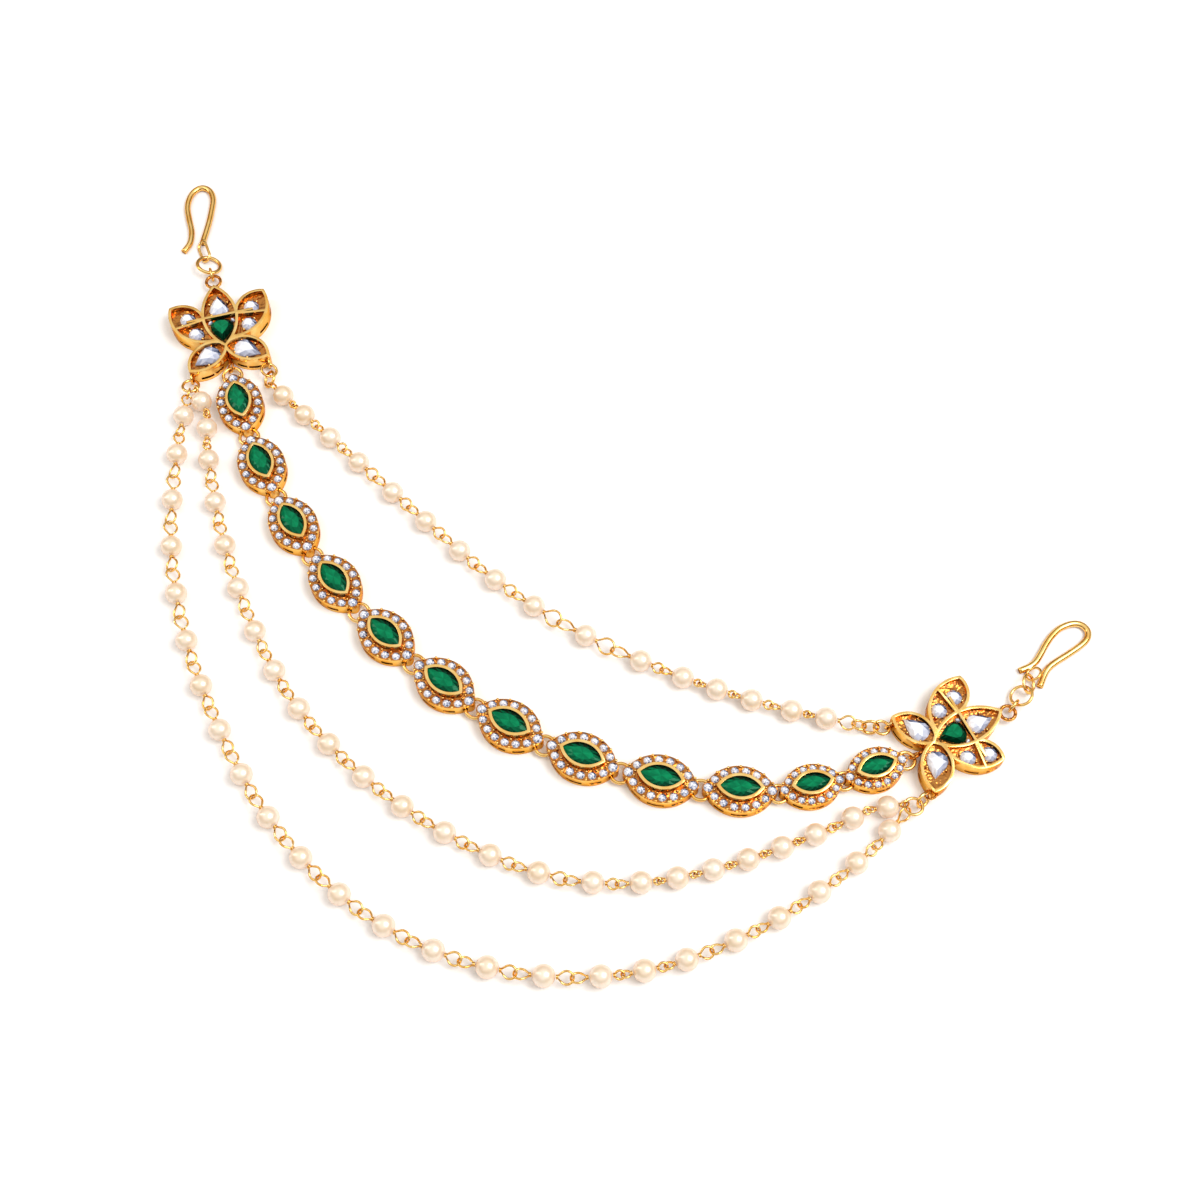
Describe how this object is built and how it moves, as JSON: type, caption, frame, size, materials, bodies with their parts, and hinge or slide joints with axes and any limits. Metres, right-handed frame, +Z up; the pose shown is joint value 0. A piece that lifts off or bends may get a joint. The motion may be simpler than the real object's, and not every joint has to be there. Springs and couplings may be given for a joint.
{
  "type": "hair chain",
  "caption": "Draped hair chain: wire hook and petalled flower at each end, a row of haloed pointed oval stones between them, and three strands of pearls on linked wire eyes.",
  "frame": {"origin": "middle of the laid-out chain's floor box, on the surface that it lies on", "axes": "+X from the left hook's side to the right hook's side, +Y towards the left flower's hook, +Z up from the surface"},
  "size_m": [0.2233, 0.2142, 0.0055],
  "materials": {
    "gold_plate": "polished",
    "green_glass": "faceted",
    "clear_glass": "faceted, foiled",
    "pearl": "pearl lustre"
  },
  "bodies": {
    "root": {"hook_left": "gold_plate", "hook_right": "gold_plate", "rings_hook_left": "gold_plate", "rings_hook_right": "gold_plate", "flower_left": "gold_plate", "flower_right": "gold_plate", "green_drop_left": "green_glass", "clear_drop_left_1": "clear_glass", "clear_drop_left_2": "clear_glass", "clear_drop_left_3": "clear_glass", "round_stone_left_1": "clear_glass", "round_stone_left_2": "clear_glass", "round_stone_left_3": "clear_glass", "round_stone_left_4": "clear_glass", "green_drop_right": "green_glass", "clear_drop_right_1": "clear_glass", "clear_drop_right_2": "clear_glass", "clear_drop_right_3": "clear_glass", "round_stone_right_1": "clear_glass", "round_stone_right_2": "clear_glass", "round_stone_right_3": "clear_glass", "round_stone_right_4": "clear_glass", "setting_01": "gold_plate", "setting_02": "gold_plate", "setting_03": "gold_plate", "setting_04": "gold_plate", "setting_05": "gold_plate", "setting_06": "gold_plate", "setting_07": "gold_plate", "setting_08": "gold_plate", "setting_09": "gold_plate", "setting_10": "gold_plate", "setting_11": "gold_plate", "setting_12": "gold_plate", "marquise_01": "green_glass", "marquise_02": "green_glass", "marquise_03": "green_glass", "marquise_04": "green_glass", "marquise_05": "green_glass", "marquise_06": "green_glass", "marquise_07": "green_glass", "marquise_08": "green_glass", "marquise_09": "green_glass", "marquise_10": "green_glass", "marquise_11": "green_glass", "marquise_12": "green_glass", "link_rings": "gold_plate", "strand_rings_left": "gold_plate", "strand_rings_right": "gold_plate", "pearls_top": "pearl", "wires_top": "gold_plate", "pearls_inner": "pearl", "wires_inner": "gold_plate", "pearls_outer": "pearl", "wires_outer": "gold_plate"}
  },
  "joints": []
}
